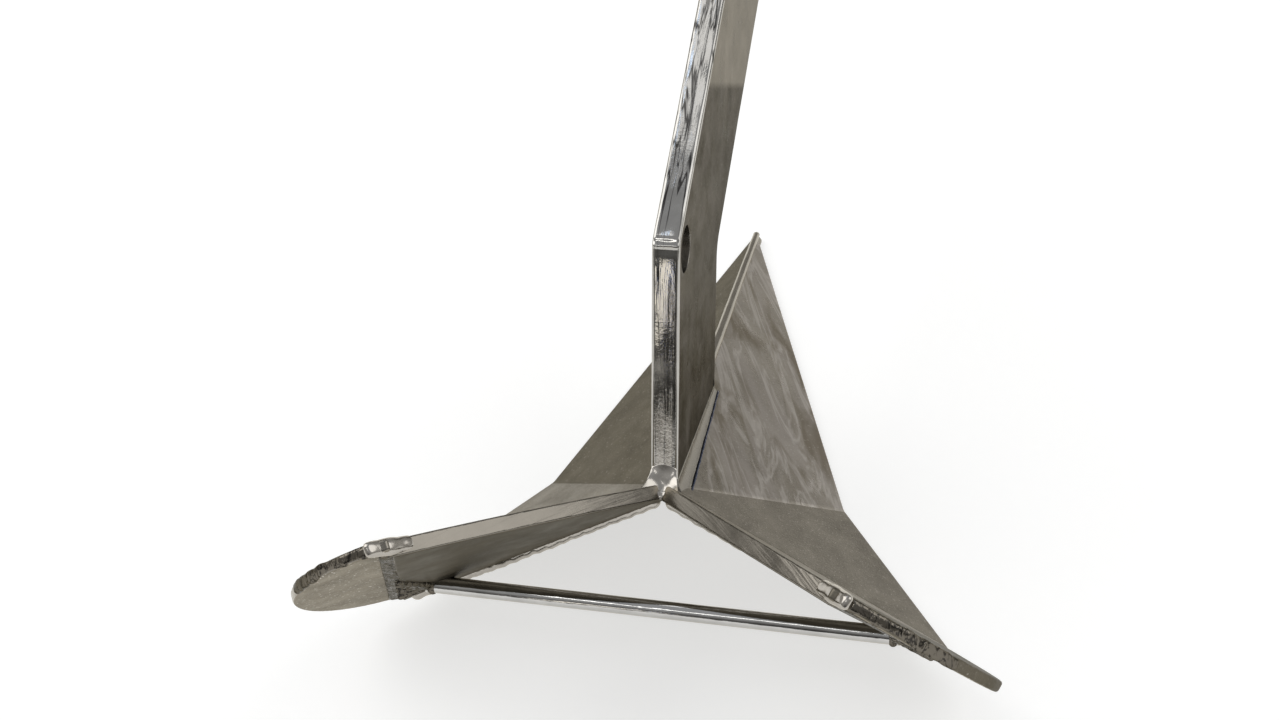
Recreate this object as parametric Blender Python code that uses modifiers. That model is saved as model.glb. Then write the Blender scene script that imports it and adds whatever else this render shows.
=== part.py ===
"""Welded plough anchor: bent shank, folded blades, turned-up tail plates, ears and a tie rod.

Each piece is modelled in the heel frame. Its origin is the heel, where the ridge of the roof-shaped
fluke ends under the shank's rear edge; +X is the anchor's right side, +Y runs forward to the tip
and +Z runs up the lower shank. Right-hand pieces are modelled and their left-hand twins mirrored.
At the end the whole anchor is pitched nose-down onto its blade edges and centred over the floor.
"""

import math

import bmesh
import bpy
from mathutils import Matrix, Vector

MM = 0.001

# Corners of the fluke's upper surface, right side, in the heel frame (mm)
HEEL = Vector((0, 0, 0)) * MM
TIP = Vector((0, 258, 40)) * MM
FOLD_CORNER = Vector((73, 78, -43)) * MM
WING_CORNER = Vector((128, 2, -68)) * MM
TAIL_CORNER = Vector((87, -105, 15)) * MM
TIP_HALF_WIDTH = 5 * MM

# Plates and bar
BLADE_THICKNESS = 6 * MM
TAIL_THICKNESS = 7 * MM
TAIL_EDGE_BULGE = 4 * MM
TAIL_EDGE_STEPS = 6
EAR_THICKNESS = 5 * MM
EAR_HALF_LENGTH = 74 * MM
EAR_DEPTH = 44 * MM
EAR_OVERHANG = 3 * MM
EAR_STEPS = 24
ROD_RADIUS = 4 * MM
ROD_HALF_LENGTH = 109 * MM
ROD_Y = -14 * MM
ROD_Z = -55 * MM

# Shank
SHANK_THICKNESS = 12 * MM
BEND_HEIGHT = 110 * MM
LOWER_DEPTH = 92 * MM
UPPER_DEPTH = 82 * MM
UPPER_ANGLE = math.radians(41)
UPPER_LENGTH = 470 * MM
END_RADIUS = 40 * MM
END_STEPS = 16
BEND_RADIUS = 8 * MM
INNER_RADIUS = 14 * MM
FOOT_SINK = 4.4 * MM
TRIP_HOLE_RADIUS = 10 * MM
TRIP_HOLE_YZ = (14.5 * MM, 103 * MM)
EYE_RADIUS = 9 * MM

# Weld beads
RIDGE_BEAD = 2.8 * MM
RIDGE_BEAD_LIFT = 0.4 * MM
RIDGE_BEAD_INSET = 1.5 * MM
RIDGE_BEAD_TIP_INSET = 5 * MM
FOOT_BEAD = 4 * MM
FOOT_BEAD_START = 8 * MM
SEAM_BEAD = 3.5 * MM
SEAM_BEAD_DEPTH = 6 * MM
SEAM_BEAD_START = 10 * MM
SEAM_BEAD_STOP = 132 * MM
EAR_BEAD = 4.5 * MM
EAR_BEAD_DEPTH = 5.5 * MM
EAR_BEAD_INSET = 9 * MM
ROD_BEAD = Vector((7, 7.5, 7)) * MM
ROD_BEAD_X = 104 * MM
HEEL_BEAD = Vector((6.5, 4.5, 4.5)) * MM
HEEL_BEAD_PLACE = Vector((0, -3.2, 4)) * MM

# Steel insert that weights the tip
BALLAST_REAR_Y = 150 * MM
BALLAST_FRONT_Y = 236 * MM
BALLAST_RECESS = 2 * MM

# Rounded edges
SHANK_EDGE = 1.5 * MM
PLATE_EDGE = 1.2 * MM
BLADE_EDGE = 0.8 * MM

GAP = 0.3 * MM
CUTTER_GROWTH = 0.45 * MM
FAR = 400 * MM
WELD_DISTANCE = 0.00001
FLAT_ANGLE = math.radians(0.3)
BEVEL_ANGLE = math.radians(40)

PARTS_NAME = "plough_anchor"
SATIN = ((0.30, 0.28, 0.25), 0.38)
POLISHED = ((0.55, 0.54, 0.52), 0.16)
BLASTED = ((0.38, 0.35, 0.30), 0.55)
BEAD = ((0.62, 0.61, 0.60), 0.22)


def clear_scene():
    for obj in list(bpy.data.objects):
        bpy.data.objects.remove(obj, do_unlink=True)


def new_collection(name):
    collection = bpy.data.collections.new(name)
    bpy.context.scene.collection.children.link(collection)
    return collection


def steel(name, finish):
    """A stainless finish of its own for one piece."""
    colour, roughness = finish
    material = bpy.data.materials.new(name + "_steel")
    material.use_nodes = True
    shader = material.node_tree.nodes["Principled BSDF"]
    shader.inputs["Base Color"].default_value = (*colour, 1.0)
    shader.inputs["Metallic"].default_value = 1.0
    shader.inputs["Roughness"].default_value = roughness
    return material


def add_piece(name, mesh, finish):
    obj = bpy.data.objects.new(name, mesh)
    parts.objects.link(obj)
    mesh.materials.clear()
    mesh.materials.append(steel(name, finish))
    return obj


def evaluated_mesh(obj):
    depsgraph = bpy.context.evaluated_depsgraph_get()
    return bpy.data.meshes.new_from_object(obj.evaluated_get(depsgraph))


def curve_to_mesh(curve, matrix):
    """Turn a curve into a closed mesh with whole flat ends, placed by the matrix."""
    holder = bpy.data.objects.new("holder", curve)
    parts.objects.link(holder)
    mesh = evaluated_mesh(holder)
    bpy.data.objects.remove(holder)
    bm = bmesh.new()
    bm.from_mesh(mesh)
    bmesh.ops.remove_doubles(bm, verts=bm.verts, dist=WELD_DISTANCE)
    bmesh.ops.dissolve_limit(bm, angle_limit=FLAT_ANGLE, verts=bm.verts, edges=bm.edges)
    bm.to_mesh(mesh)
    bm.free()
    mesh.transform(matrix)
    return mesh


def flat_outline(outline, thickness, frame):
    """A plate from a 2D outline; the frame's XY plane is the middle of its thickness."""
    curve = bpy.data.curves.new("outline", "CURVE")
    curve.dimensions = "2D"
    curve.fill_mode = "BOTH"
    curve.extrude = thickness / 2
    spline = curve.splines.new("POLY")
    spline.points.add(len(outline) - 1)
    for point, (x, y) in zip(spline.points, outline):
        point.co = (x, y, 0, 1)
    spline.use_cyclic_u = True
    return curve_to_mesh(curve, frame)


def round_bar(points, radius):
    """A straight or jointed round bar with flat ends."""
    curve = bpy.data.curves.new("bar", "CURVE")
    curve.dimensions = "3D"
    curve.bevel_depth = radius
    curve.bevel_resolution = 2
    curve.use_fill_caps = True
    spline = curve.splines.new("POLY")
    spline.points.add(len(points) - 1)
    for point, place in zip(spline.points, points):
        point.co = (*place, 1)
    return curve_to_mesh(curve, Matrix.Identity(4))


def add_bevel(obj, width):
    bevel = obj.modifiers.new("rounded_edges", "BEVEL")
    bevel.width = width
    bevel.segments = 2
    bevel.limit_method = "ANGLE"
    bevel.angle_limit = BEVEL_ANGLE


def cut(obj, *tools):
    for tool in tools:
        boolean = obj.modifiers.new("cut_by_" + tool.name, "BOOLEAN")
        boolean.operation = "DIFFERENCE"
        boolean.solver = "EXACT"
        boolean.object = tool


def add_cutter(name, mesh):
    obj = bpy.data.objects.new(name, mesh)
    cutters.objects.link(obj)
    obj.hide_render = True
    obj.display_type = "WIRE"
    return obj


def mirrored(mesh):
    """The same mesh across the anchor's middle plane."""
    twin = mesh.copy()
    twin.transform(Matrix.Scale(-1, 4, Vector((1, 0, 0))))
    twin.flip_normals()
    return twin


def left_name(name):
    return name.replace("right", "left")


def keep_room(obj):
    """Keep a slightly larger copy of a piece's plain shape, to cut its neighbours with a gap."""
    mesh = evaluated_mesh(obj)
    bm = bmesh.new()
    bm.from_mesh(mesh)
    bm.normal_update()
    normals = [vert.normal.copy() for vert in bm.verts]
    for vert, normal in zip(bm.verts, normals):
        vert.co += normal * CUTTER_GROWTH
    bm.to_mesh(mesh)
    bm.free()
    room[obj.name] = add_cutter("room_for_" + obj.name, mesh)
    if obj.name.endswith("right"):
        twin = left_name(obj.name)
        room[twin] = add_cutter("room_for_" + twin, mirrored(mesh))


def add_left_twin(obj, finish):
    """Mirror a finished right-hand piece across the anchor's middle plane."""
    add_piece(left_name(obj.name), mirrored(evaluated_mesh(obj)), finish)


def middle_cutter():
    """A block that fills the left half of space, up to half a gap past the middle plane."""
    bm = bmesh.new()
    bmesh.ops.create_cube(bm, size=2 * FAR)
    bmesh.ops.translate(bm, verts=bm.verts, vec=(GAP / 2 - FAR, 0, 0))
    mesh = bpy.data.meshes.new("left_half")
    bm.to_mesh(mesh)
    bm.free()
    return add_cutter("left_half", mesh)


def hole_cutter(name, radius, centre_yz):
    """A round hole across the shank, along X."""
    bm = bmesh.new()
    turn = Matrix.Rotation(math.pi / 2, 4, "Y")
    place = Matrix.Translation((0, *centre_yz))
    bmesh.ops.create_cone(
        bm, cap_ends=True, segments=32, radius1=radius, radius2=radius,
        depth=4 * SHANK_THICKNESS, matrix=place @ turn)
    mesh = bpy.data.meshes.new(name)
    bm.to_mesh(mesh)
    bm.free()
    return add_cutter(name, mesh)


def plate_frame():
    """Axes of the tail plate: X aft in the plate, Y outboard along its fold, Z out of its top."""
    outboard = (WING_CORNER - HEEL).normalized()
    normal = (TAIL_CORNER - HEEL).cross(WING_CORNER - HEEL).normalized()
    aft = outboard.cross(normal)
    return Matrix((aft, outboard, normal)).transposed().to_4x4()


def in_plate(point):
    """Aft and outboard coordinates of a point of the tail plate."""
    local = plate_frame().inverted() @ point
    return Vector((local.x, local.y))


def arc_between(start, end, bulge, steps):
    """Points of a shallow arc that leaves the straight line by bulge, to the line's left."""
    run = end - start
    side = Vector((-run.y, run.x)).normalized()
    return [start + run * t + side * bulge * 4 * t * (1 - t)
            for t in (i / steps for i in range(steps + 1))]


def fillet(before, corner, after, radius, steps=6):
    """Round one corner of an outline."""
    to_before = (before - corner).normalized()
    to_after = (after - corner).normalized()
    half = to_before.angle(to_after) / 2
    centre = corner + (to_before + to_after).normalized() * radius / math.sin(half)
    reach = radius / math.tan(half)
    first = corner + to_before * reach - centre
    last = corner + to_after * reach - centre
    sweep = math.pi - 2 * half
    return [centre + (first * math.sin(sweep * (1 - t)) + last * math.sin(sweep * t))
            / math.sin(sweep) for t in (i / steps for i in range(steps + 1))]


def ridge_z(y):
    return TIP.z * y / TIP.y


def blade_normal():
    """Upward normal of the front half of the right blade."""
    return FOLD_CORNER.cross(TIP).normalized()


def below_blade(x, y, depth):
    """Height of the point at (x, y) that lies depth below the right blade's upper surface."""
    normal = blade_normal()
    return (-depth - normal.x * x - normal.y * y) / normal.z


def make_blade():
    """Half of the roof: a plate folded from the heel to its outer corner."""
    edge = (FOLD_CORNER - TIP).normalized()
    tip_corner = TIP + edge * (TIP_HALF_WIDTH / edge.x)
    bm = bmesh.new()
    corners = [bm.verts.new(p) for p in (HEEL, TIP, tip_corner, FOLD_CORNER, WING_CORNER)]
    heel, tip, beside_tip, fold, wing = corners
    bm.faces.new((heel, fold, beside_tip, tip))
    bm.faces.new((heel, wing, fold))
    bm.normal_update()
    mesh = bpy.data.meshes.new("blade")
    bm.to_mesh(mesh)
    bm.free()
    blade = add_piece("blade_right", mesh, SATIN)
    shell = blade.modifiers.new("thickness", "SOLIDIFY")
    shell.thickness = BLADE_THICKNESS
    shell.offset = -1
    shell.use_even_offset = True
    keep_room(blade)
    add_bevel(blade, BLADE_EDGE)
    cut(blade, left_half)
    return blade


def make_tail_plate():
    """Thick triangular plate turned up along the blade's rear edge, with a bulging free edge."""
    heel = in_plate(HEEL)
    wing = in_plate(WING_CORNER)
    tail = in_plate(TAIL_CORNER)
    seam_gap = Vector((GAP, 0))
    outline = [wing + seam_gap]
    outline += arc_between(tail, heel + seam_gap, TAIL_EDGE_BULGE, TAIL_EDGE_STEPS)
    frame = plate_frame() @ Matrix.Translation((0, 0, -TAIL_THICKNESS / 2))
    plate = add_piece("tail_plate_right", flat_outline(outline, TAIL_THICKNESS, frame), POLISHED)
    keep_room(plate)
    add_bevel(plate, PLATE_EDGE)
    cut(plate, left_half)
    return plate


def make_ear():
    """Half-oval plate whose straight side meets the tail plate's outer edge."""
    wing = in_plate(WING_CORNER)
    tail = in_plate(TAIL_CORNER)
    chord = (tail - wing).normalized()
    out = Vector((-chord.y, chord.x))
    if out.y < 0:
        out = -out
    centre = (wing + tail) / 2 + chord * EAR_OVERHANG + out * GAP
    outline = []
    for i in range(EAR_STEPS + 1):
        turn = math.pi * i / EAR_STEPS
        outline.append(centre + chord * EAR_HALF_LENGTH * math.cos(turn)
                       + out * EAR_DEPTH * math.sin(turn))
    frame = plate_frame() @ Matrix.Translation((0, 0, -EAR_THICKNESS / 2))
    ear = add_piece("ear_right", flat_outline(outline, EAR_THICKNESS, frame), BLASTED)
    keep_room(ear)
    add_bevel(ear, PLATE_EDGE)
    return ear


def make_tie_rod():
    ends = [Vector((side * ROD_HALF_LENGTH, ROD_Y, ROD_Z)) for side in (-1, 1)]
    rod = add_piece("tie_rod", round_bar(ends, ROD_RADIUS), POLISHED)
    keep_room(rod)
    cut(rod, room["tail_plate_right"], room["tail_plate_left"])


def shank_outline():
    """Side view of the shank as (y, z) points, from the foot up the rear and back down the front."""
    up = Vector((math.cos(UPPER_ANGLE), math.sin(UPPER_ANGLE)))
    front = Vector((up.y, -up.x))
    foot_rear = Vector((0, -FOOT_SINK))
    foot_front = Vector((LOWER_DEPTH, ridge_z(LOWER_DEPTH) - FOOT_SINK))
    bend = Vector((0, BEND_HEIGHT))
    eye = bend + up * UPPER_LENGTH + front * END_RADIUS
    inner_run = (LOWER_DEPTH - front.x * UPPER_DEPTH) / up.x
    inner = bend + front * UPPER_DEPTH + up * inner_run
    taper = (eye - inner).angle(up)
    end_start = math.pi / 2
    end_stop = -math.pi / 2 - taper
    tip_arc = []
    for i in range(END_STEPS + 1):
        turn = end_start + (end_stop - end_start) * i / END_STEPS
        tip_arc.append(eye + up * END_RADIUS * math.cos(turn) - front * END_RADIUS * math.sin(turn))
    outline = [foot_rear]
    outline += fillet(foot_rear, bend, tip_arc[0], BEND_RADIUS)
    outline += tip_arc
    outline += fillet(tip_arc[-1], inner, foot_front, INNER_RADIUS)
    outline.append(foot_front)
    return outline, eye


def make_shank():
    outline, eye = shank_outline()
    frame = Matrix(((0, 0, 1), (1, 0, 0), (0, 1, 0))).to_4x4()
    shank = add_piece("shank", flat_outline(outline, SHANK_THICKNESS, frame), SATIN)
    keep_room(shank)
    add_bevel(shank, SHANK_EDGE)
    cut(shank, hole_cutter("trip_hole", TRIP_HOLE_RADIUS, TRIP_HOLE_YZ))
    cut(shank, hole_cutter("shackle_eye", EYE_RADIUS, (eye.x, eye.y)))
    cut(shank, room["blade_right"], room["blade_left"])


def add_bead(name, points, radius, *neighbours):
    """A weld bead: a round run of metal with its neighbours taken out of it."""
    bead = add_piece(name, round_bar(points, radius), BEAD)
    cut(bead, *(room[neighbour] for neighbour in neighbours))
    return bead


def add_blob(name, place, radii, *neighbours):
    """A lump of weld metal with its neighbours taken out of it."""
    bm = bmesh.new()
    bmesh.ops.create_uvsphere(bm, u_segments=20, v_segments=12, radius=1)
    bmesh.ops.scale(bm, verts=bm.verts, vec=radii)
    bmesh.ops.translate(bm, verts=bm.verts, vec=place)
    mesh = bpy.data.meshes.new(name)
    bm.to_mesh(mesh)
    bm.free()
    blob = add_piece(name, mesh, BEAD)
    cut(blob, *(room[neighbour] for neighbour in neighbours))
    return blob


def make_ridge_weld():
    lift = Vector((0, 0, RIDGE_BEAD_LIFT))
    ends = (LOWER_DEPTH + RIDGE_BEAD_INSET, TIP.y - RIDGE_BEAD_TIP_INSET)
    run = [Vector((0, y, ridge_z(y))) + lift for y in ends]
    add_bead("ridge_weld", run, RIDGE_BEAD, "blade_right", "blade_left")


def make_foot_weld():
    """Fillet bead in the corner between the shank's side and the blade."""
    x = SHANK_THICKNESS / 2
    run = [Vector((x, y, below_blade(x, y, 0)))
           for y in (FOOT_BEAD_START, LOWER_DEPTH - RIDGE_BEAD)]
    return add_bead("foot_weld_right", run, FOOT_BEAD, "blade_right", "shank")


def make_seam_weld():
    """Bead in the groove under the joint of blade and tail plate."""
    along = (WING_CORNER - HEEL).normalized()
    tail_normal = plate_frame().to_3x3().col[2]
    rear_blade_normal = WING_CORNER.cross(FOLD_CORNER).normalized()
    down = -(tail_normal + rear_blade_normal).normalized() * SEAM_BEAD_DEPTH
    run = [HEEL + along * s + down for s in (SEAM_BEAD_START, SEAM_BEAD_STOP)]
    return add_bead("seam_weld_right", run, SEAM_BEAD, "blade_right", "tail_plate_right")


def make_ear_weld():
    """Bead under the joint of tail plate and ear."""
    chord = (TAIL_CORNER - WING_CORNER).normalized()
    down = plate_frame().to_3x3().col[2] * -EAR_BEAD_DEPTH
    run = [WING_CORNER + chord * EAR_BEAD_INSET + down, TAIL_CORNER + down]
    return add_bead("ear_weld_right", run, EAR_BEAD, "tail_plate_right", "ear_right")


def make_rod_weld():
    place = Vector((ROD_BEAD_X, ROD_Y, ROD_Z))
    return add_blob("rod_weld_right", place, ROD_BEAD, "tail_plate_right", "tie_rod")


def make_heel_weld():
    add_blob("heel_weld", HEEL_BEAD_PLACE, HEEL_BEAD, "shank",
             "tail_plate_right", "tail_plate_left")


def ballast_section(y):
    """Apex and lower corners of the space under the roof at one station."""
    depth = BLADE_THICKNESS + GAP
    normal = blade_normal()
    run = (y - FOLD_CORNER.y) / (TIP.y - FOLD_CORNER.y)
    edge_z = FOLD_CORNER.z + (TIP.z - FOLD_CORNER.z) * run
    base_z = edge_z - BLADE_THICKNESS * normal.z + BALLAST_RECESS
    base_x = (-depth - normal.y * y - normal.z * base_z) / normal.x
    apex = Vector((0, y, below_blade(0, y, depth)))
    return [apex, Vector((base_x, y, base_z)), Vector((-base_x, y, base_z))]


def make_nose_ballast():
    """A tapered wedge that fills the roof behind the tip."""
    bm = bmesh.new()
    for y in (BALLAST_REAR_Y, BALLAST_FRONT_Y):
        for corner in ballast_section(y):
            bm.verts.new(corner)
    bmesh.ops.convex_hull(bm, input=bm.verts)
    bmesh.ops.recalc_face_normals(bm, faces=bm.faces)
    mesh = bpy.data.meshes.new("nose_ballast")
    bm.to_mesh(mesh)
    bm.free()
    add_piece("nose_ballast", mesh, SATIN)


def stand_on_floor():
    """Pitch the anchor onto its blade edges, with its box centred over the origin."""
    pose = bpy.data.objects.new("anchor_pose", None)
    parts.objects.link(pose)
    pitch = math.atan2(TIP.z - FOLD_CORNER.z, TIP.y - FOLD_CORNER.y)
    turn = Matrix.Rotation(-pitch, 4, "X")
    depsgraph = bpy.context.evaluated_depsgraph_get()
    places = []
    for obj in parts.objects:
        if obj.type == "MESH":
            mesh = obj.evaluated_get(depsgraph).data
            places += [turn @ vert.co for vert in mesh.vertices]
    low = [min(place[axis] for place in places) for axis in range(3)]
    high = [max(place[axis] for place in places) for axis in range(3)]
    centre = Vector(((low[0] + high[0]) / 2, (low[1] + high[1]) / 2, low[2]))
    pose.matrix_world = Matrix.Translation(-centre) @ turn
    for obj in list(parts.objects) + list(cutters.objects):
        if obj is not pose:
            obj.parent = pose


def main():
    add_left_twin(make_blade(), SATIN)
    add_left_twin(make_tail_plate(), POLISHED)
    add_left_twin(make_ear(), BLASTED)
    make_tie_rod()
    make_shank()
    make_ridge_weld()
    make_heel_weld()
    for bead in (make_foot_weld(), make_seam_weld(), make_ear_weld(), make_rod_weld()):
        add_left_twin(bead, BEAD)
    make_nose_ballast()
    stand_on_floor()


clear_scene()
parts = new_collection(PARTS_NAME)
cutters = new_collection("cutters")
left_half = middle_cutter()
room = {}
main()
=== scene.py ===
"""Looks for the plough anchor: stainless plates with ground edges, welds, floor, light and camera.

Every visible piece is modelled in the heel frame that the CAD uses (origin at the heel, +X to the
anchor's right, +Y forward to the tip, +Z up the lower shank) and then posed with the CAD.
"""

import math

import bmesh
import bpy
from mathutils import Euler, Matrix, Vector, noise


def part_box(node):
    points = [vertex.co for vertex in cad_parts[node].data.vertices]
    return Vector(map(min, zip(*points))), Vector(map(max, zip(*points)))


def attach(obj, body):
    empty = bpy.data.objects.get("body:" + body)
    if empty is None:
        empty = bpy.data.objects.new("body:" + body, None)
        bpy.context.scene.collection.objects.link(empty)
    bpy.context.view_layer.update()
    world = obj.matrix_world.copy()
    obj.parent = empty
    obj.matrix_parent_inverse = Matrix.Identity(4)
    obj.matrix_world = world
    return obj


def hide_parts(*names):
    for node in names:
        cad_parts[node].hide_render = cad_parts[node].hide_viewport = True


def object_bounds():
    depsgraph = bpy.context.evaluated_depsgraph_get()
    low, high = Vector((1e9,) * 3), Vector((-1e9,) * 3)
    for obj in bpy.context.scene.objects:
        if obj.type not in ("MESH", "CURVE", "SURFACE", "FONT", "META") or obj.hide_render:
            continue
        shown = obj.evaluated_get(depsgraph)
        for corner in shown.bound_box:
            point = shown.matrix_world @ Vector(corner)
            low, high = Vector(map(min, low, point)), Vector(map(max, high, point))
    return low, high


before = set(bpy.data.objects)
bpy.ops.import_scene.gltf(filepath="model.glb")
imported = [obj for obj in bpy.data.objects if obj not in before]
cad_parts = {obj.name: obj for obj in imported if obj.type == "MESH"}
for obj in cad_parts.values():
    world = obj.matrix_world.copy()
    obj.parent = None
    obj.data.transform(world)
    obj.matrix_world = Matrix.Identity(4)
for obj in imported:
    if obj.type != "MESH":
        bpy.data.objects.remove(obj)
cad_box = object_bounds()

MM = 0.001

# Corners of the fluke's upper surface, right side, in the heel frame
HEEL = Vector((0, 0, 0)) * MM
TIP = Vector((0, 258, 40)) * MM
FOLD = Vector((73, 78, -43)) * MM
WING = Vector((128, 2, -68)) * MM
TAIL = Vector((87, -105, 15)) * MM

# Blades, tail plates and ears
TIP_HALF_WIDTH = 5 * MM
BLADE_THICKNESS = 6 * MM
FOLD_BEVEL = 1.2 * MM
TAIL_THICKNESS = 7 * MM
TAIL_EDGE_BULGE = 4 * MM
TAIL_TUCK = 1.2 * MM
EAR_THICKNESS = 5 * MM
EAR_HALF_LENGTH = 74 * MM
EAR_DEPTH = 44 * MM
EAR_OVERHANG = 3 * MM

# Tie rod
ROD_RADIUS = 4 * MM
ROD_HALF_LENGTH = 107 * MM
ROD_AT = Vector((0, -14, -55)) * MM

# Shank
HALF_THICK = 6 * MM
BEND_HEIGHT = 110 * MM
LOWER_DEPTH = 92 * MM
UPPER_DEPTH = 82 * MM
UPPER_ANGLE = math.radians(41)
UPPER_LENGTH = 470 * MM
END_RADIUS = 40 * MM
BEND_RADIUS = 8 * MM
INNER_RADIUS = 14 * MM
FOOT_SINK = 4.4 * MM
TRIP_HOLE = (Vector((14.5, 103)) * MM, 10 * MM)
EYE_RADIUS = 9 * MM
HOLE_CHAMFER = 0.5 * MM
RIM_RADIUS = 1.7 * MM
RIM_WIDTH = 5 * MM


def heel_pose():
    """Matrix from the heel frame to the CAD's world, from the tie rod's place."""
    pitch = math.atan2(TIP.z - FOLD.z, TIP.y - FOLD.y)
    turn = Matrix.Rotation(-pitch, 4, "X")
    low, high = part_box("tie_rod")
    rod_centre = (Vector(low) + Vector(high)) / 2
    return Matrix.Translation(rod_centre - turn @ ROD_AT) @ turn


POSE = heel_pose()


# ---------------------------------------------------------------- materials

class Nodes:
    """Short names for building a node tree."""

    def __init__(self, owner, shader="Principled BSDF", coords="Object"):
        owner.use_nodes = True
        self.tree = owner.node_tree
        self.shader = self.tree.nodes[shader]
        self.coords = self.tree.nodes.new("ShaderNodeTexCoord").outputs[coords]
        self.split = self.add("ShaderNodeSeparateXYZ", Vector=self.coords).outputs

    def add(self, kind, **inputs):
        node = self.tree.nodes.new(kind)
        for name, value in inputs.items():
            self.feed(node, name.replace("_", " "), value)
        return node

    def feed(self, node, socket, value):
        """Link or set an input, which is given by its name or its number."""
        if isinstance(value, bpy.types.NodeSocket):
            self.tree.links.new(value, node.inputs[socket])
        else:
            node.inputs[socket].default_value = value

    def stretched(self, scale, turn=None):
        """Scaled coordinates; with a turn about Z they're also alike on both sides."""
        node = self.add("ShaderNodeMapping", Vector=self.coords,
                        Scale=[1 / number for number in scale])
        node.vector_type = "TEXTURE"
        if turn is not None:
            both = self.add("ShaderNodeCombineXYZ", X=self.math("ABSOLUTE", self.split["X"]),
                            Y=self.split["Y"], Z=self.split["Z"])
            self.feed(node, "Vector", both.outputs["Vector"])
            self.feed(node, "Rotation", (0, 0, math.radians(turn)))
        return node.outputs["Vector"]

    def noise(self, vector, scale, detail, rough, distortion=0.0):
        node = self.add("ShaderNodeTexNoise", Vector=vector, Scale=scale, Detail=detail,
                        Roughness=rough, Distortion=distortion)
        return node.outputs["Fac"]

    def ramp(self, value, start, end):
        """A straight line from one (input, output) pair to another, level beyond them."""
        node = self.add("ShaderNodeMapRange", Value=value, From_Min=start[0], From_Max=end[0],
                        To_Min=start[1], To_Max=end[1])
        return node.outputs["Result"]

    def math(self, operation, a, b=0.0):
        node = self.tree.nodes.new("ShaderNodeMath")
        node.operation = operation
        self.feed(node, 0, a)
        self.feed(node, 1, b)
        return node.outputs["Value"]

    def mix(self, factor, a, b):
        """Blend two colours; the node's sockets for them are numbers 6 and 7 in and 2 out."""
        node = self.tree.nodes.new("ShaderNodeMix")
        node.data_type = "RGBA"
        for socket, value in ((0, factor), (6, a), (7, b)):
            self.feed(node, socket, value)
        return node.outputs[2]

    def bump(self, height, distance, strength, below=None):
        node = self.add("ShaderNodeBump", Height=height, Distance=distance, Strength=strength)
        if below is not None:
            self.feed(node, "Normal", below)
        return node.outputs["Normal"]

    def finish(self, colour, roughness, normal, edge):
        """Metal that reflects less at grazing angles where edge is below 1."""
        self.feed(self.shader, "Base Color", colour)
        self.feed(self.shader, "Roughness", roughness)
        self.feed(self.shader, "Normal", normal)
        self.shader.inputs["Metallic"].default_value = 1.0
        self.shader.inputs["Specular Tint"].default_value = rgb(edge, edge * 0.97, edge * 0.9)


def rgb(r, g, b):
    return (r, g, b, 1.0)


def times(colour, *gains):
    """A colour times one gain, or times a gain for each channel."""
    if len(gains) == 1:
        gains *= 3
    return rgb(*(c * gain for c, gain in zip(colour, gains)))


def polish_marks(n, tone, dark, light, turn, strength):
    """Bright lines left by a polishing wheel, and brown stains between them."""
    current = n.noise(n.stretched((5, 26, 26), turn), scale=2.2, detail=4.0, rough=0.6,
                      distortion=1.2)
    line = n.math("ABSOLUTE", n.math("SUBTRACT", current, 0.52))
    tone = n.mix(n.ramp(line, (0.0, strength), (0.05, 0.0)), tone, times(light, 1.55, 1.58, 1.7))
    stain = n.noise(n.stretched((9, 22, 22), turn), scale=2.6, detail=3.0, rough=0.55,
                    distortion=0.8)
    return n.mix(n.ramp(stain, (0.52, 0.0), (0.68, strength)), tone,
                 times(dark, 0.75, 0.68, 0.56))


def shank_painted_light(n, tone, dark, light):
    """Painted shade towards the foot and a painted reflection above a slanting line over the bend.
    """
    foot_shade_ends = 0.26
    foot_shade_full = 0.11
    line_slope = 0.72
    line_height = 0.1275
    line_blur = 0.002
    height = n.split["Z"]
    # painted shade: darker towards the foot
    tone = n.mix(n.ramp(height, (foot_shade_full, 0.34), (foot_shade_ends, 0.0)), tone,
                 times(dark, 0.35))
    # painted reflection: lighter above a slanting line over the bend
    slant = n.math("ADD", height, n.math("MULTIPLY", n.split["Y"], line_slope))
    return n.mix(n.ramp(slant, (line_height - line_blur, 0.0), (line_height + line_blur, 0.5)),
                 tone, times(light, 2.2))


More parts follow.
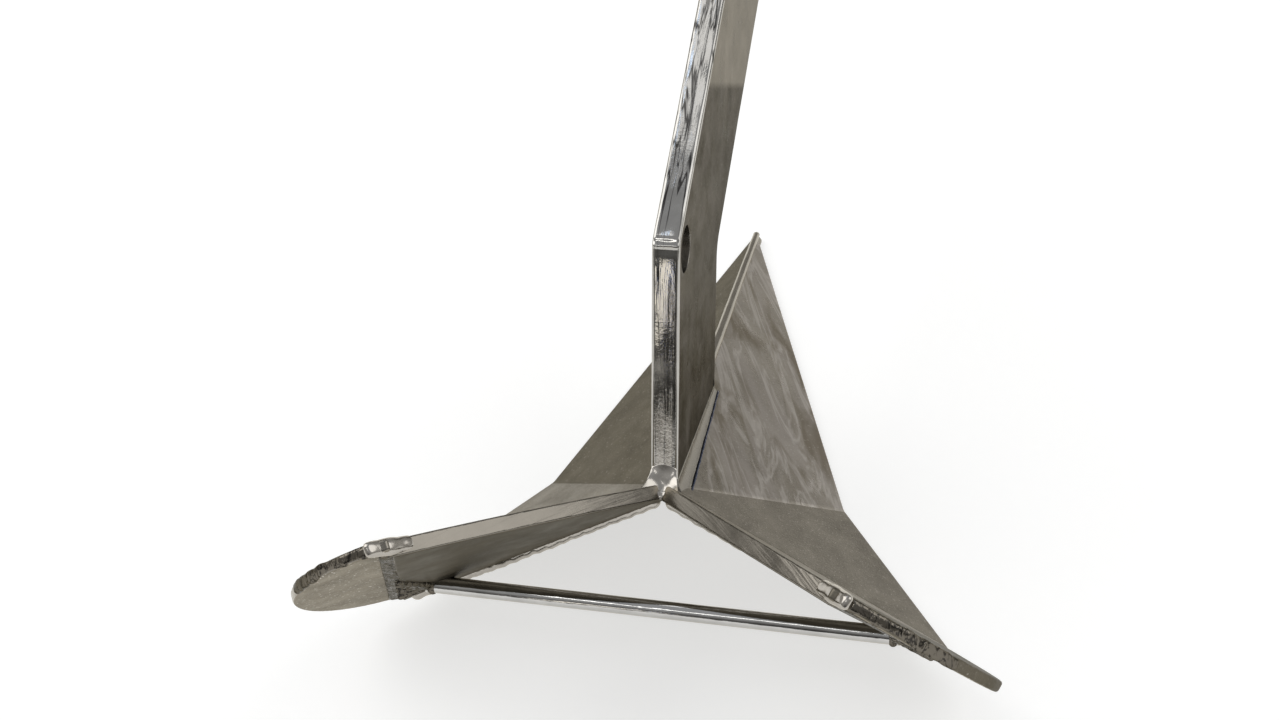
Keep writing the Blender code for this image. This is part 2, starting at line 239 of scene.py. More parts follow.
def satin_steel(name, dark, light, rough, grain, smear, turn=None, specks=0.0, edge=1.0,
                speck_scale=800.0, flow=0.0, painted_light=None):
    """Dull stainless: mottled tone, fine grain and smeared polish.

    Light specks and polish marks are optional, and painted_light(n, tone, dark, light) may add
    painted shade and painted reflection to a piece.
    """
    material = bpy.data.materials.new(name)
    n = Nodes(material)
    mottle = n.noise(n.coords, scale=38.0, detail=5.0, rough=0.62, distortion=0.6)
    fine = n.noise(n.coords, scale=1100.0, detail=2.0, rough=0.6)
    drag = n.noise(n.stretched((9, 60, 60), turn), scale=1.3, detail=3.0, rough=0.5,
                   distortion=0.5)
    tone = n.mix(n.ramp(mottle, (0.32, 0.0), (0.7, 1.0)), rgb(*dark), rgb(*light))
    tone = n.mix(n.ramp(fine, (0.35, 0.0), (0.75, 0.35)), tone, times(light, 1.5))
    tone = n.mix(n.ramp(drag, (0.35, 0.0), (0.68, 0.7 * smear)), tone,
                 times(light, 1.2, 1.2, 1.3))
    if flow:
        tone = polish_marks(n, tone, dark, light, turn, flow)
    if specks:
        dots = n.noise(n.coords, speck_scale, detail=1.0, rough=0.4)
        tone = n.mix(n.ramp(dots, (0.66, 0.0), (0.74, specks)), tone, rgb(0.85, 0.82, 0.76))
    # painted shade and painted reflection for this piece, if given
    if painted_light:
        tone = painted_light(n, tone, dark, light)
    blotch = n.noise(n.coords, scale=90.0, detail=3.0, rough=0.6)
    roughness = n.math("ADD", n.ramp(blotch, (0.3, rough - 0.07), (0.7, rough + 0.07)),
                       n.ramp(drag, (0.3, -smear * 0.07), (0.7, smear * 0.07)))
    soft = n.bump(drag, distance=0.8 * MM, strength=0.05 * smear + 0.01)
    sharp = n.bump(fine, distance=0.2 * MM, strength=grain, below=soft)
    n.finish(tone, roughness, sharp, edge)
    return material


def polished_steel(name, tone, rough, wave, pitting, along=(50, 50, 50), turn=None, painted_veins=0.0,
                   painted_veins_from=((-1.0, 1.0), (0.0, 1.0)), edge=1.0):
    """Hand-polished stainless: wavy along the grinding direction, faint pits, painted dark
    reflections.
    """
    material = bpy.data.materials.new(name)
    n = Nodes(material)
    drag = n.noise(n.stretched(along, turn), scale=4.0, detail=3.0, rough=0.5, distortion=0.8)
    pits = n.noise(n.coords, scale=700.0, detail=2.0, rough=0.65)
    haze = n.noise(n.coords, scale=60.0, detail=4.0, rough=0.6)
    colour = n.mix(n.ramp(haze, (0.35, 0.0), (0.7, 1.0)), times(tone, 0.82), rgb(*tone))
    # painted reflection: thin dark lines along the grinding direction, faded in over the given
    # heights
    if painted_veins:
        reflection_vein = n.math("ABSOLUTE", n.math("SUBTRACT", drag, 0.5))
        depth = n.math("MULTIPLY", n.ramp(reflection_vein, (0.010, painted_veins), (0.045, 0.0)),
                       n.ramp(n.split["Z"], *painted_veins_from))
        colour = n.mix(depth, colour, rgb(0.03, 0.028, 0.026))
    roughness = n.ramp(haze, (0.35, rough), (0.75, rough + 0.12))
    soft = n.bump(drag, distance=1.5 * MM, strength=wave)
    sharp = n.bump(pits, distance=0.15 * MM, strength=pitting, below=soft)
    n.finish(colour, roughness, sharp, edge)
    return material


# The shank's sides get painted shade towards the foot and a painted reflection above a slanting
# line.
SIDE = satin_steel("shank_side", (0.10, 0.092, 0.075), (0.31, 0.287, 0.247), rough=0.34,
                   grain=0.2, smear=0.6, specks=0.3, edge=0.32, painted_light=shank_painted_light)
FRONT = satin_steel("blade_front", (0.19, 0.172, 0.144), (0.31, 0.284, 0.246), rough=0.33,
                    grain=0.10, smear=0.8, turn=-66, specks=0.15, flow=0.75)
REAR = satin_steel("blade_rear", (0.14, 0.126, 0.104), (0.235, 0.215, 0.18), rough=0.45,
                   grain=0.8, smear=0.1, specks=0.3, speck_scale=1300.0)
# The left blade's face is a darker copy of the blade steel: painted shade, with its own grain and
# no polish marks.
LEFT_SHADED = satin_steel("blade_left_face_painted_shade", (0.11, 0.098, 0.074), (0.185, 0.167, 0.13), rough=0.42,
                   grain=0.5, smear=0.2, specks=0.2, edge=0.6)
# Darker steel for the tail plates' undersides: painted shade.
UNDER_SHADED = satin_steel("plate_underside_painted_shade", (0.08, 0.071, 0.054), (0.15, 0.135, 0.105), rough=0.36,
                    grain=0.2, smear=0.4, edge=0.5)
BLASTED = satin_steel("ear_blasted", (0.15, 0.133, 0.103), (0.33, 0.297, 0.24), rough=0.5,
                      grain=0.9, smear=0.1, specks=0.8, edge=0.7, speck_scale=720.0)
# Darker steel for the ear tops and the right ear's rim: painted shade.
EAR_TOP_SHADED = satin_steel("ear_top_painted_shade", (0.09, 0.08, 0.062), (0.155, 0.14, 0.11), rough=0.4,
                    grain=0.4, smear=0.3, specks=0.2, edge=0.5)
RIM = polished_steel("plate_edge", (0.25, 0.23, 0.198), rough=0.20, wave=0.22, pitting=0.15,
                     along=(3, 110, 5), turn=-54)
# The upper rear face of the shank has thin dark lines of painted reflection.
SHANK_RIM = polished_steel("shank_edge", (0.50, 0.485, 0.455), rough=0.04, wave=0.09,
                           pitting=0.12, along=(60, 4.5, 4.5), painted_veins=0.9,
                           painted_veins_from=((0.168, 0.0), (0.182, 1.0)))
CHROME = polished_steel("weld_metal", (0.50, 0.47, 0.425), rough=0.16, wave=0.08, pitting=0.06)
# The rough welds have thin dark lines of painted reflection.
STREAKED = polished_steel("brushed_weld", (0.17, 0.153, 0.127), rough=0.10, wave=0.8,
                          pitting=0.2, along=(70, 30, 30), painted_veins=0.9, edge=0.45)
RIDGE = polished_steel("ridge_polish", (0.36, 0.335, 0.295), rough=0.12, wave=0.12, pitting=0.1,
                       along=(70, 6, 6))
ROD = polished_steel("rod_polish", (0.62, 0.61, 0.59), rough=0.06, wave=0.12, pitting=0.1,
                     along=(6, 60, 60))
# Dark bluish polish for the thin tube in the foot fillet's crease: painted shade.
CREASE_SHADE = polished_steel("weld_crease_painted_shade", (0.05, 0.06, 0.10), rough=0.12, wave=0.4, pitting=0.1,
                      along=(60, 60, 60))
SHANK_FOOT = polished_steel("foot_fillet", (0.22, 0.205, 0.18), rough=0.2, wave=0.2, pitting=0.1,
                            along=(40, 8, 40))


# ---------------------------------------------------------------- mesh helpers

def wander(point, size, seed):
    """Smooth noise in -1..1 that changes over about size metres."""
    return noise.noise(point / size + Vector((seed, 0.37 * seed, 1.7 * seed)))


def publish(name, bm, materials, slot, *nodes, sheet=False):
    """Make a visible piece of a mesh built in the heel frame; a sheet is turned face up."""
    bm.transform(POSE)
    if sheet:
        bm.normal_update()
        if sum(face.normal.z * face.calc_area() for face in bm.faces) < 0:
            bmesh.ops.reverse_faces(bm, faces=bm.faces)
    else:
        bmesh.ops.recalc_face_normals(bm, faces=bm.faces)
    mesh = bpy.data.meshes.new(name)
    for face in bm.faces:
        face.smooth = True
    bm.to_mesh(mesh)
    bm.free()
    for material in materials:
        mesh.materials.append(material)
    piece = bpy.data.objects.new(name, mesh)
    bpy.context.scene.collection.objects.link(piece)
    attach(piece, "root")
    if nodes:
        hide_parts(*nodes)
    return piece


def weigh_normals(piece):
    """Keep the flats flat and the rounded edges round in the shading."""
    shade = piece.modifiers.new("face_weighted_normals", "WEIGHTED_NORMAL")
    shade.weight = 90
    shade.keep_sharp = True


def soft_edges(piece, width):
    """Round the edges between a plate's faces, as a grinder leaves them."""
    bevel = piece.modifiers.new("ground_edges", "BEVEL")
    bevel.width = width
    bevel.segments = 4
    bevel.limit_method = "ANGLE"
    bevel.angle_limit = math.radians(32)
    weigh_normals(piece)


def twin(bm):
    """The mirror image of a right-hand mesh."""
    other = bm.copy()
    bmesh.ops.scale(other, verts=other.verts, vec=(-1, 1, 1))
    bmesh.ops.reverse_faces(other, faces=other.faces)
    return other


def fillet(before, corner, after, radius, steps):
    """Points of an arc that rounds a corner between two straight runs."""
    to_before = (before - corner).normalized()
    to_after = (after - corner).normalized()
    half = to_before.angle(to_after) / 2
    centre = corner + (to_before + to_after).normalized() * radius / math.sin(half)
    reach = radius / math.tan(half)
    first = corner + to_before * reach - centre
    last = corner + to_after * reach - centre
    sweep = math.pi - 2 * half
    return [centre + (first * math.sin(sweep * (1 - t)) + last * math.sin(sweep * t))
            / math.sin(sweep) for t in (i / steps for i in range(steps + 1))]


def hollow(top, corner, toe, s):
    """Point at s (0..1) of a curve from top to toe that's drawn in towards the corner."""
    return top * (1 - s) ** 2 + corner * 2 * s * (1 - s) + toe * s ** 2


def resample(points, step):
    """Split the long sides of a closed outline."""
    out = []
    for a, b in zip(points, points[1:] + points[:1]):
        count = max(1, round((b - a).length / step))
        out += [a.lerp(b, i / count) for i in range(count)]
    return out


def walls(bm, rings):
    """Faces from each closed ring of vertices to the next."""
    for a, b in zip(rings, rings[1:]):
        for j in range(len(a)):
            k = (j + 1) % len(a)
            bm.faces.new((a[j], a[k], b[k], b[j]))


def skin(bm, rings):
    """A closed body from a row of rings, capped at both ends."""
    walls(bm, rings)
    bm.faces.new(rings[0])
    bm.faces.new(reversed(rings[-1]))


def tube(bm, places, radii, sides):
    """A closed tube through places with a radius at each."""
    rings = []
    last = len(places) - 1
    for i, place in enumerate(places):
        ahead = (places[min(i + 1, last)] - places[max(i - 1, 0)]).normalized()
        across = ahead.orthogonal().normalized()
        other = ahead.cross(across)
        rings.append([bm.verts.new(place + (across * math.cos(a) + other * math.sin(a))
                                   * radii[i])
                      for a in (2 * math.pi * k / sides for k in range(sides))])
    skin(bm, rings)


# ---------------------------------------------------------------- shank

def ridge_z(y):
    """Height of the ridge line between the blades."""
    return TIP.z * y / TIP.y


def shank_outline():
    """Side outline as (y, z) points from the rear of the foot upwards, and the eye's centre."""
    up = Vector((math.cos(UPPER_ANGLE), math.sin(UPPER_ANGLE)))
    front = Vector((up.y, -up.x))
    foot_rear = Vector((0, -FOOT_SINK))
    foot_front = Vector((LOWER_DEPTH, ridge_z(LOWER_DEPTH) - FOOT_SINK))
    bend = Vector((0, BEND_HEIGHT))
    eye = bend + up * UPPER_LENGTH + front * END_RADIUS
    inner_run = (LOWER_DEPTH - front.x * UPPER_DEPTH) / up.x
    inner = bend + front * UPPER_DEPTH + up * inner_run
    steps = 48
    sweep = math.pi + (eye - inner).angle(up)
    arc = []
    for i in range(steps + 1):
        turn = math.pi / 2 - sweep * i / steps
        arc.append(eye + up * END_RADIUS * math.cos(turn) - front * END_RADIUS * math.sin(turn))
    outline = [foot_rear] + fillet(foot_rear, bend, arc[0], BEND_RADIUS, 16) + arc
    outline += fillet(arc[-1], inner, foot_front, INNER_RADIUS, 14) + [foot_front]
    return resample(outline, 2.0 * MM), eye


def rim_profile(radius):
    """Across the thickness, as (inset from the outline, x)."""
    steps = 6
    corner = [(radius * (1 - math.sin(a)), HALF_THICK - radius * (1 - math.cos(a)))
              for a in (math.pi / 2 * i / steps for i in range(steps + 1))]
    flat = [(0.0, (HALF_THICK - radius) * t) for t in (0.66, 0.33, 0.0, -0.33, -0.66)]
    side = [(RIM_WIDTH, HALF_THICK)] + corner
    return side + flat + [(d, -x) for d, x in reversed(side)]


def rim_ripple(spot, point):
    """How far a spot of the hand-ground rim stands out of its outline: below zero, so inside."""
    rim_depth = 0.08 * MM
    bend_depth = 0.30 * MM
    bend_reach = 15 * MM
    fold_below = 3 * MM
    fold_reach = 5 * MM
    fold_pitch = 4.5 * MM
    past_bend = point - Vector((0, BEND_HEIGHT))
    near_bend = math.exp(-(past_bend.length / bend_reach) ** 2)
    fold = math.exp(-((past_bend.y + fold_below) / fold_reach) ** 2) * near_bend
    lengthwise = Vector((spot.x * 3, spot.y, spot.z))
    ripple = rim_depth * (wander(lengthwise, 14 * MM, 7.7) - 2)
    ripple += bend_depth * near_bend * (wander(spot, 5.5 * MM, 1.9) - 1)
    ripple += bend_depth * fold * (math.cos(2 * math.pi * spot.z / fold_pitch) - 1)
    return ripple


def rim_ring(bm, before, point, after):
    """Vertices across the rim at one point of the outline, from the right side to the left."""
    back = (point - before).normalized()
    ahead = (after - point).normalized()
    inward = Vector((back.y + ahead.y, -back.x - ahead.x)).normalized()
    miter = 1 / max(0.5, inward.dot(Vector((ahead.y, -ahead.x))))
    outward = -Vector((0, inward.x, inward.y))
    radius = RIM_RADIUS + 0.35 * MM * wander(Vector((0, point.x, point.y)), 25 * MM, 3.1)
    ring = []
    for inset, x in rim_profile(radius):
        place = point + inward * inset * miter
        spot = Vector((x, place.x, place.y))
        fade = max(0.0, 1 - 2 * inset / RIM_WIDTH)
        ring.append(bm.verts.new(spot + outward * rim_ripple(spot, point) * fade))
    return ring


def drill(bm, centre, radius):
    """Wall of a hole with broken edges; gives its loops on the right and left side."""
    sides = 64
    rings = []
    for x, r in ((HALF_THICK, radius + HOLE_CHAMFER), (HALF_THICK - HOLE_CHAMFER, radius),
                 (-HALF_THICK + HOLE_CHAMFER, radius), (-HALF_THICK, radius + HOLE_CHAMFER)):
        rings.append([bm.verts.new((x, centre.x + r * math.cos(a), centre.y + r * math.sin(a)))
                      for a in (2 * math.pi * i / sides for i in range(sides))])
    walls(bm, rings)
    return rings[0], rings[-1]


def loop_edges(bm, loop):
    return [bm.edges.get(pair) for pair in zip(loop, loop[1:] + loop[:1])]


def make_shank():
    """One thick plate with a bend, a ground rim and two drilled holes."""
    outline, eye = shank_outline()
    bm = bmesh.new()
    rings = [rim_ring(bm, *points) for points in
             zip(outline[-1:] + outline[:-1], outline, outline[1:] + outline[:1])]
    for a, b in zip(rings, rings[1:] + rings[:1]):
        for j in range(len(a) - 1):
            on_side = j in (0, len(a) - 2)
            bm.faces.new((a[j], a[j + 1], b[j + 1], b[j])).material_index = 0 if on_side else 1
    holes = [drill(bm, *TRIP_HOLE), drill(bm, eye, EYE_RADIUS)]
    for side, column in ((0, 0), (1, -1)):
        edges = loop_edges(bm, [ring[column] for ring in rings])
        for hole in holes:
            edges += loop_edges(bm, hole[side])
        bmesh.ops.triangle_fill(bm, edges=edges, use_beauty=True)
    piece = publish("shank_bar", bm, [SIDE, SHANK_RIM], "shank_steel", "shank")
    weigh_normals(piece)


# ---------------------------------------------------------------- plates and rod

def make_blades():
    """Each blade is a folded sheet, thickened downwards."""
    edge = (FOLD - TIP).normalized()
    tip_corner = TIP + edge * (TIP_HALF_WIDTH / edge.x)
    bm = bmesh.new()
    heel, tip, beside_tip, fold, wing = [
        bm.verts.new(p) for p in (HEEL, TIP, tip_corner, FOLD, WING)]
    bm.faces.new((heel, fold, beside_tip, tip)).material_index = 0
    bm.faces.new((heel, wing, fold)).material_index = 1
    crease = bm.edges.get((heel, fold))
    bmesh.ops.bevel(bm, geom=[crease], offset=FOLD_BEVEL, segments=3, profile=0.5,
                    affect="EDGES", clamp_overlap=True)
    # the left blade's face gets the darker steel, which is painted shade
    for name, mesh, faces in (("right", bm, (FRONT, REAR)), ("left", twin(bm), (LEFT_SHADED, REAR))):
        piece = publish("blade_plate_" + name, mesh, [*faces, RIM, RIM], "blade_steel",
                        "blade_" + name, sheet=True)
        shell = piece.modifiers.new("thickness", "SOLIDIFY")
        shell.thickness = BLADE_THICKNESS
        shell.offset = -1
        shell.use_even_offset = True
        shell.material_offset_rim = 2
        soft_edges(piece, 1.1 * MM)


def plate_normal():
    return (TAIL - HEEL).cross(WING - HEEL).normalized()


def plate_frame():
    """The tail plate's axes at the heel: aft across it, outboard along the seam, and normal."""
    outboard = (WING - HEEL).normalized()
    aft = outboard.cross(plate_normal())
    return Matrix((aft, outboard, plate_normal())).transposed().to_4x4()


def in_plate(point):
    """A point's place in the tail plate's plane."""
    local = plate_frame().inverted() @ point
    return Vector((local.x, local.y))


def plate(outline, thickness):
    """A flat plate whose top lies in the tail plate's plane; slots are top, bottom and rim."""
    bm = bmesh.new()
    rim = [bm.verts.new((p.x, p.y, 0)) for p in outline]
    top = bm.faces.new(rim)
    made = bmesh.ops.extrude_face_region(bm, geom=[top])
    low = [item for item in made["geom"] if isinstance(item, bmesh.types.BMVert)]
    bmesh.ops.translate(bm, verts=low, vec=(0, 0, -thickness))
    bm.normal_update()
    for face in bm.faces:
        if abs(face.normal.z) < 0.5:
            face.material_index = 2
        elif face.calc_center_median().z < -thickness / 2:
            face.material_index = 1
    bm.transform(plate_frame())
    return bm


def make_tail_plates():
    """Thick plates along the blades' rear edges, each with a slightly curved free edge."""
    heel = in_plate(HEEL)
    wing = in_plate(WING)
    tail = in_plate(TAIL)
    run = heel - tail
    side = Vector((-run.y, run.x)).normalized()
    tuck = Vector((-TAIL_TUCK, 0))
    arc = [tail + run * t + side * TAIL_EDGE_BULGE * 4 * t * (1 - t)
           for t in (i / 24 for i in range(25))]
    bm = plate([wing + tuck] + arc + [heel + tuck], TAIL_THICKNESS)
    for name, mesh in (("right", bm), ("left", twin(bm))):
        # the undersides get the darker steel, which is painted shade
        piece = publish("tail_wing_" + name, mesh, [REAR, UNDER_SHADED, RIM], "polished_steel",
                        "tail_plate_" + name)
        soft_edges(piece, 1.5 * MM)


def ear_outline():
    """Half ellipse from the rear end of the seam to its front end, in the plate's plane."""
    wing = in_plate(WING)
    tail = in_plate(TAIL)
    chord = (tail - wing).normalized()
    out = Vector((-chord.y, chord.x))
    centre = (wing + tail) / 2 + chord * EAR_OVERHANG
    steps = 72
    return [centre + chord * EAR_HALF_LENGTH * math.cos(a) + out * EAR_DEPTH * math.sin(a)
            for a in (math.pi * i / steps for i in range(steps + 1))]


def make_ears():
    """Thin rounded plates at the outer ends of the tail plates."""
    bm = plate(ear_outline(), EAR_THICKNESS)
    # the ear tops and the right ear's rim get the darker steel, which is painted shade; the left
    # ear's rim is polished
    for name, mesh, rim in (("right", bm, EAR_TOP_SHADED), ("left", twin(bm), RIM)):
        piece = publish("ear_plate_" + name, mesh, [EAR_TOP_SHADED, BLASTED, rim], "blasted_steel",
                        "ear_" + name)
        soft_edges(piece, 1.3 * MM)


def make_rod():
    """A drawn bar whose surface is very slightly uneven."""
    steps = 90
    places = [Vector((ROD_HALF_LENGTH * (2 * i / steps - 1), ROD_AT.y, ROD_AT.z))
              for i in range(steps + 1)]
    radii = [ROD_RADIUS * (1 + 0.006 * wander(place, 18 * MM, 5)) for place in places]
    bm = bmesh.new()
    tube(bm, places, radii, sides=40)
    publish("rod_bar", bm, [ROD], "polished_steel", "tie_rod")


# ---------------------------------------------------------------- welds

def blend_lumps(name, lumps, material, voxel, smooth, *nodes):
    """Weld metal: overlapping lumps melted into one smooth skin."""
    bm = bmesh.new()
    for place, radius in lumps:
        bmesh.ops.create_icosphere(bm, subdivisions=2, radius=radius,
                                   matrix=Matrix.Translation(place))
    piece = publish(name, bm, [material], "weld_bead", *nodes)
    remesh = piece.modifiers.new("melt", "REMESH")
    remesh.mode = "VOXEL"
    remesh.voxel_size = voxel
    remesh.use_smooth_shade = True
    settle = piece.modifiers.new("settle", "SMOOTH")
    settle.factor = 0.6
    settle.iterations = smooth


def both_sides(name, lumps, material, voxel, smooth, replaced=None):
    """Weld metal on the right and its mirror image on the left, for the replaced nodes if any."""
    for side, sign in (("_right", 1), ("_left", -1)):
        placed = [(Vector((sign * p.x, p.y, p.z)), r) for p, r in lumps]
        nodes = [replaced + side] if replaced else []
        blend_lumps(name + side, placed, material, voxel, smooth, *nodes)


def bead_lumps(start, end, radius, ripple, seed):
    """Lumps of one weld run, with the crescents of its pool."""
    run = end - start
    count = max(2, round(run.length / (radius * 0.6)))
    lumps = []
    for i in range(count + 1):
        t = i / count
        spot = start + run * t
        size = radius * (1 + 0.12 * wander(spot, 9 * MM, seed))
        size += radius * 0.07 * math.cos(2 * math.pi * run.length * t / ripple)
        lumps.append((spot, size))
    return lumps


def room_behind(place):
    """How far a lump may reach before it leaves the CAD model's box at the rear."""
    return (POSE @ place).y - cad_box[0][1] - 0.1 * MM


def blade_normal():
    return FOLD.cross(TIP).normalized()


def on_blade(x, y):
    """The point of the right blade's front surface that is above (x, y)."""
    normal = blade_normal()
    return Vector((x, y, -(normal.x * x + normal.y * y) / normal.z))


def make_ridge():
    """Ground bead along the ridge, finer towards the tip."""
    start = LOWER_DEPTH - 3 * MM
    end = TIP.y - 1.5 * MM
    steps = 120
    places, radii = [], []
    for i in range(steps + 1):
        t = i / steps
        y = start * (1 - t) + end * t
        radius = (2.7 * (1 - t) + 1.9 * t) * MM
        sway = 0.25 * MM * wander(Vector((0, y, 0)), 30 * MM, 2)
        spot = Vector((sway, y, ridge_z(y) - radius * 0.35))
        places.append(spot)
        radii.append(radius * (1 + 0.05 * wander(spot, 11 * MM, 9)))
    bm = bmesh.new()
    tube(bm, places, radii, sides=24)
    publish("ridge_bead", bm, [RIDGE], "weld_bead", "ridge_weld")


def make_foot_fillets():
    """Concave ground fillet from the shank's side to the blade, with a thin dark tube at its toe
    as painted shade in the crease.
    """
    normal = blade_normal()
    out = Vector((normal.z, 0, -normal.x)).normalized()
    steps = 60
    curve_steps = 8
    bm = bmesh.new()
    rings, crease = [], []
    for i in range(steps + 1):
        t = i / steps
        y = (1.0 + 90.0 * t) * MM
        reach = (6.2 * (1 - t) + 2.2 * t) * MM
        reach *= 1 + 0.06 * wander(Vector((0, y, 0)), 12 * MM, 4)
        corner = on_blade(HALF_THICK, y)
        top = corner + Vector((0, 0, reach))
        toe = corner + out * reach
        ring = [corner - out * 2 * MM - Vector((0, 0, 2 * MM)), top - Vector((0.6 * MM, 0, 0))]
        ring += [hollow(top, corner, toe, k / curve_steps) + normal * 0.08 * MM
                 for k in range(curve_steps + 1)]
        ring.append(toe - normal * MM)
        rings.append([bm.verts.new(p) for p in ring])
        crease.append(toe + out * 0.15 * MM - normal * 0.25 * MM)
    skin(bm, rings)
    for side, mesh in (("right", bm), ("left", twin(bm))):
        publish("foot_bead_" + side, mesh, [SHANK_FOOT], "weld_bead", "foot_weld_" + side)
    # a thin dark tube along the toe: painted shade in the crease
    radii = [(0.75 + 0.25 * wander(p, 6 * MM, 6)) * MM for p in crease]
    bm = bmesh.new()
    tube(bm, crease, radii, sides=12)
    publish("foot_crease_shade_right", bm, [CREASE_SHADE], "weld_bead")


def heel_column(u):
    """Section of the heel's saddle at u (-1..1 from left to right): face, rolled lip, back."""
    top = Vector((5.7 * u, 0.3, 9.5 - 2.5 * u * u)) * MM
    corner = Vector((6.3 * u, -1.3 - 1.2 * u * u, 2.0)) * MM
    toe = Vector((8.6 * u, -4.8 - 5.6 * u * u, -1.4 + 2.6 * u * u)) * MM
    face_steps = 16
    lip_steps = 9
    column = []
    for k in range(face_steps + 1):
        s = k / face_steps
        spot = hollow(top, corner, toe, s)
        swell = 0.3 * MM * math.sin(math.pi * s) * wander(spot, 5 * MM, 12)
        column.append(spot + Vector((0, -0.7, 0.7)) * swell)
    for k in range(1, lip_steps):
        roll = math.pi * k / lip_steps
        column.append(toe + Vector((0, 1.1 * math.cos(roll) - 1.1 - 0.9 * math.sin(roll),
                                    -1.6 * (1 - math.cos(roll)))) * MM)
    back = [Vector((4.5 * u, 2.0, z)) * MM for z in (-4.5, 8.0)]
    return column + back


def make_heel():
    """Concave saddle of bright weld metal from the shank's rear edge into both tail plates."""
    steps = 36
    bm = bmesh.new()
    skin(bm, [[bm.verts.new(p) for p in heel_column(2 * i / steps - 1)]
              for i in range(steps + 1)])
    publish("heel_bead", bm, [CHROME], "weld_bead", "heel_weld")


def make_seam_beads():
    """Bead in the corner under the joint of each blade and its tail plate."""
    along = (WING - HEEL).normalized()
    rear_normal = WING.cross(FOLD).normalized()
    down = -(plate_normal() + rear_normal).normalized() * 5.6 * MM
    start = HEEL + along * 8 * MM + down
    end = HEEL + along * 136 * MM + down
    lumps = bead_lumps(start, end, radius=3.6 * MM, ripple=3.2 * MM, seed=1.3)
    both_sides("seam_bead", lumps, CHROME, voxel=0.6 * MM, smooth=6, replaced="seam_weld")


def make_ear_beads():
    """Rough weld of several runs side by side, under the joint of tail plate and ear."""
    chord = (TAIL - WING).normalized()
    down = plate_normal() * -5.2 * MM
    inward = chord.cross(plate_normal())
    start = WING + chord * 13 * MM + down
    end = TAIL - chord * 1.5 * MM + down * 0.85
    runs = 6
    lumps = []
    for k in range(runs):
        off_centre = k - (runs - 1) / 2
        shift = inward * off_centre * 1.5 * MM
        lumps += bead_lumps(start + shift, end + shift, seed=2.6 + k,
                            radius=(2.3 - 0.25 * abs(off_centre)) * MM,
                            ripple=(3.4 + 0.5 * k) * MM)
    both_sides("ear_bead", lumps, STREAKED, voxel=0.6 * MM, smooth=3, replaced="ear_weld")


def make_ear_caps():
    """Bright end of each ear weld, wrapped round the plates' rear edge."""
    chord = (TAIL - WING).normalized()
    run = (TAIL - HEEL).normalized()
    middle = TAIL - plate_normal() * 2.6 * MM
    start = middle - run * 9 * MM - chord * MM
    end = middle + run * 9 * MM + chord * 2.5 * MM
    count = 16
    lumps = []
    for i in range(count):
        taper = math.sin(math.pi * (i + 1) / (count + 1)) ** 0.5
        for level in (-1.1, 0, 1.1):
            spot = start.lerp(end, i / (count - 1)) + plate_normal() * level * MM
            size = (1.3 + 1.4 * taper + 0.5 * wander(spot, 6 * MM, 15)) * MM
            lumps.append((spot, min(size, room_behind(spot))))
    both_sides("ear_cap", lumps, CHROME, voxel=0.5 * MM, smooth=16)


def make_ear_tails():
    """Rough run of each ear weld that goes on along the ear's rim."""
    chord = (TAIL - WING).normalized()
    lumps = []
    # resample() also closes the outline, so only its first half or so lies on the rim
    outline = resample(ear_outline()[5:30], 1.1 * MM)
    for p in outline[:round(len(outline) * 0.42)]:
        for level in (-1.6, -3.4):
            spot = plate_frame() @ Vector((p.x, p.y, level * MM)) - chord * 1.4 * MM
            size = (1.8 + 0.7 * wander(spot, 5.5 * MM, 21)) * MM
            lumps.append((spot, min(size, room_behind(spot))))
    both_sides("ear_tail", lumps, STREAKED, voxel=0.5 * MM, smooth=10)


def make_rod_beads():
    """Weld round each end of the rod, fanned out on the tail plate to the ear's seam."""
    root = Vector((ROD_HALF_LENGTH - 3 * MM, ROD_AT.y, ROD_AT.z))
    sunk = plate_normal() * -6.6 * MM
    count = 18
    lumps = []
    for i in range(count):
        turn = 2 * math.pi * i / count
        lumps.append((root + Vector((0, math.cos(turn), math.sin(turn))) * 2.9 * MM, 2.1 * MM))
    for line in range(6):
        seam = WING.lerp(TAIL, 0.12 + 0.07 * line) + sunk
        for i in range(count):
            t = i / (count - 1)
            spot = root.lerp(seam, t)
            size = 2.3 - 0.5 * t + 0.6 * wander(spot, 4 * MM, 18)
            lumps.append((spot, max(1.7, size) * MM))
    both_sides("rod_bead", lumps, STREAKED, voxel=0.55 * MM, smooth=4, replaced="rod_weld")


def make_ballast():
    """The hidden ballast keeps its CAD shape and gets the underside's steel, darkened as painted
    shade.
    """
    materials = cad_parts["nose_ballast"].data.materials
    materials.clear()
    materials.append(UNDER_SHADED)


make_shank()
make_blades()
make_tail_plates()
make_ears()
make_rod()
make_ridge()
make_foot_fillets()
make_heel()
make_seam_beads()
make_ear_beads()
make_ear_caps()
make_ear_tails()
make_rod_beads()
make_ballast()


# ---------------------------------------------------------------- floor, light and camera

# World Y of the wall that holds the small reflectors, well behind the camera
WALL_AT = -2.4


def make_floor():
    """A pale floor that also shines a little, so that it stays as white as the photo's."""
    bpy.ops.mesh.primitive_plane_add(size=60, location=(0, 0, 0))
    floor = bpy.context.object
    floor.name = "studio_floor"
    material = bpy.data.materials.new("pale_floor")
    n = Nodes(material)
    speckle = n.noise(n.coords, scale=180.0, detail=3.0, rough=0.6)
    n.feed(n.shader, "Base Color", n.mix(speckle, rgb(0.50, 0.50, 0.50), rgb(0.54, 0.54, 0.535)))
    n.shader.inputs["Roughness"].default_value = 0.85
    n.shader.inputs["Emission Color"].default_value = rgb(1, 1, 0.99)
    n.shader.inputs["Emission Strength"].default_value = 0.62
    floor.data.materials.append(material)


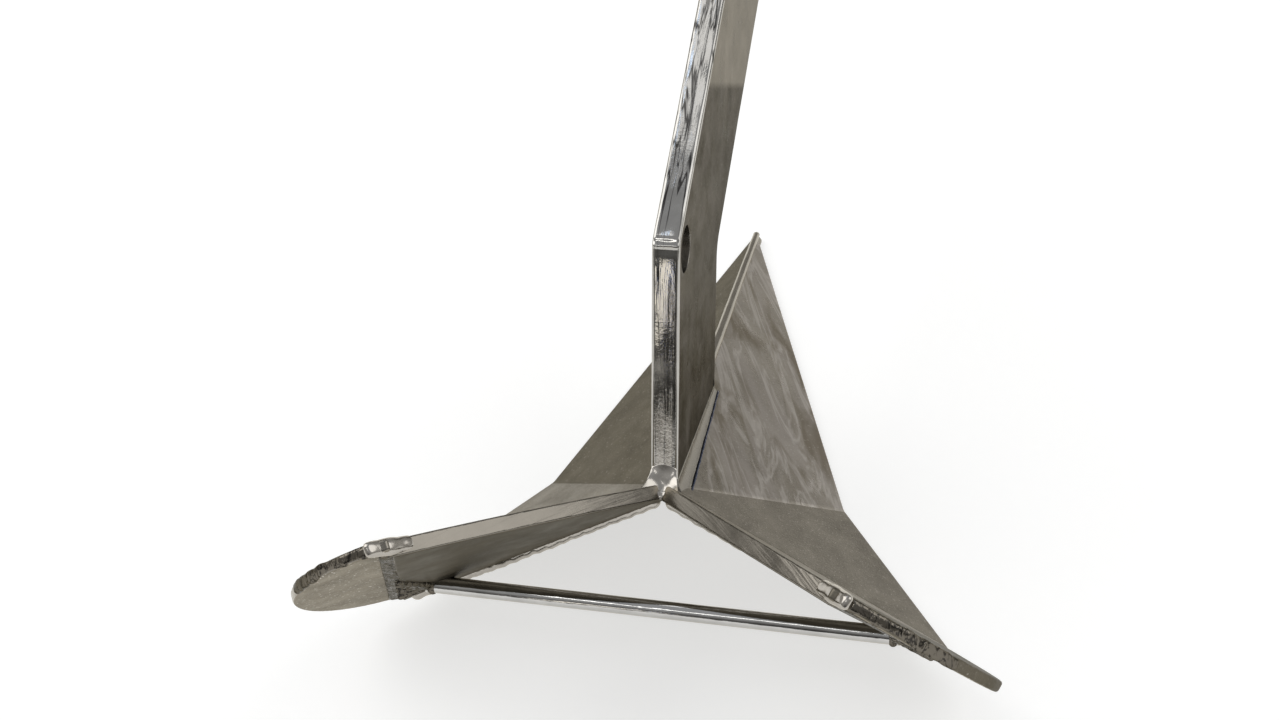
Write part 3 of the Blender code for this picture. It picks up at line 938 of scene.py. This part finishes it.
def make_world():
    """An evenly lit pale room whose wall behind the camera is dark."""
    world = bpy.data.worlds.new("studio")
    bpy.context.scene.world = world
    n = Nodes(world, "Background", "Generated")
    room = n.mix(n.split["Z"], rgb(0.34, 0.33, 0.31), rgb(0.42, 0.43, 0.45))
    shown = n.ramp(n.split["Y"], (-1.0, 0.12), (-0.75, 1.0))
    n.feed(n.shader, "Color", n.mix(shown, rgb(0, 0, 0), room))
    n.shader.inputs["Strength"].default_value = 1.0


def area_light(name, place, target, size, power, colour=(1, 1, 1)):
    data = bpy.data.lights.new(name, "AREA")
    data.shape = "RECTANGLE"
    data.size, data.size_y = size
    data.energy = power
    data.color = colour
    light = bpy.data.objects.new(name, data)
    bpy.context.scene.collection.objects.link(light)
    light.visible_camera = False
    light.location = place
    aim = Vector(target) - Vector(place)
    light.rotation_euler = aim.to_track_quat("-Z", "Y").to_euler()


def card(name, across, heights, radiance, colour=(1, 1, 1)):
    """A small reflector on the wall, for the shank's lower rear face."""
    width = across[1] - across[0]
    height = heights[1] - heights[0]
    place = Vector((sum(across) / 2, WALL_AT, sum(heights) / 2))
    area_light(name, place, place + Vector((0, 1, 0)), (width, height),
               radiance * math.pi * width * height, colour)


def make_lights():
    """Two soft lights, strips over the shank's upper rear face and bend, and the cards."""
    area_light("soft_left", (-1.9, 0.3, 1.9), (0, 0, 0.05), size=(2.2, 2.4), power=30)
    area_light("soft_right", (1.9, 0.2, 1.9), (0, 0, 0.05), size=(2.2, 2.4), power=22)
    area_light("strip_top", (-0.46, 1.05, 2.4), (-0.46, 1.05, 0), size=(0.20, 0.80), power=0.5)
    area_light("strip_cool", (-0.62, 1.05, 2.4), (-0.62, 1.05, 0), size=(0.06, 0.80), power=0.45,
               colour=(0.6, 0.75, 1.0))
    area_light("strip_bend", (-0.5, -1.6, 2.2), (0, -0.18, 0.17), size=(0.9, 0.18), power=1.6)
    card("card_left", (-0.62, -0.435), (0.31, 0.62), 1.6, (1.0, 0.95, 0.86))
    card("card_blue", (-0.424, -0.412), (0.31, 0.62), 1.6, (0.35, 0.5, 1.0))
    card("card_oval", (-0.405, -0.36), (0.33, 0.40), 1.3, (1.0, 0.9, 0.78))
    card("card_low", (-0.60, -0.30), (0.01, 0.16), 0.33, (1.0, 0.93, 0.83))
    card("card_white", (-0.455, -0.443), (0.03, 0.19), 3.0)


def make_camera():
    """The photo's camera, placed in the heel frame."""
    data = bpy.data.cameras.new("camera")
    data.sensor_width = 36
    data.lens = 45.34
    camera = bpy.data.objects.new("camera", data)
    bpy.context.scene.collection.objects.link(camera)
    aim = Euler((math.radians(69.07), 0, math.radians(12.69))).to_matrix().to_4x4()
    place = Matrix.Translation(Vector((130.47, -627.05, 302.68)) * MM)
    camera.matrix_world = POSE @ place @ aim
    bpy.context.scene.camera = camera


make_floor()
make_world()
make_lights()
make_camera()
bpy.context.scene.view_settings.view_transform = "Standard"
